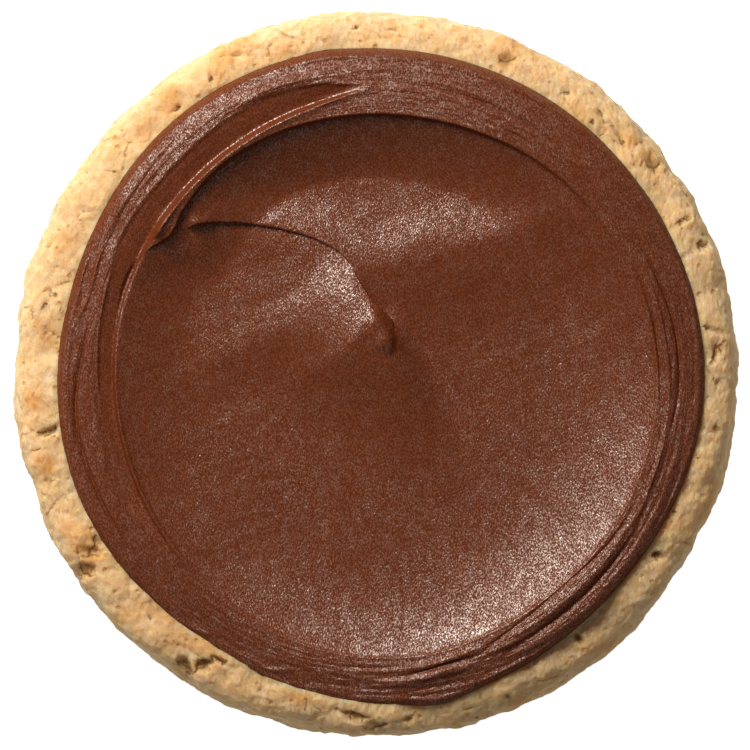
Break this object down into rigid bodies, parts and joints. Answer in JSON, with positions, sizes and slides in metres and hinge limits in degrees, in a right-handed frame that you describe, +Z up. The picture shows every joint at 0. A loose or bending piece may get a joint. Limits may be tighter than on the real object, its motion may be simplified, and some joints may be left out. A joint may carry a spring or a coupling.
{
  "type": "peanut butter cookie with chocolate frosting",
  "caption": "Round pale golden peanut butter cookie with a craggy edge, topped with a thick dished disc of chocolate frosting with a ridged rim and a swirl.",
  "frame": {"origin": "centre of the flat base, on the surface that the cookie lies on", "axes": "+Z up out of the frosting, +X to the right and +Y away from the viewer as the cookie is seen from above"},
  "size_m": [0.1002, 0.1002, 0.0188],
  "materials": {
    "baked_dough": "matt, crumbly, pale golden baked dough with amber patches",
    "chocolate_frosting": "satin, fine-grained chocolate frosting"
  },
  "bodies": {
    "root": {"cookie": "baked_dough", "frosting": "chocolate_frosting"}
  },
  "joints": []
}
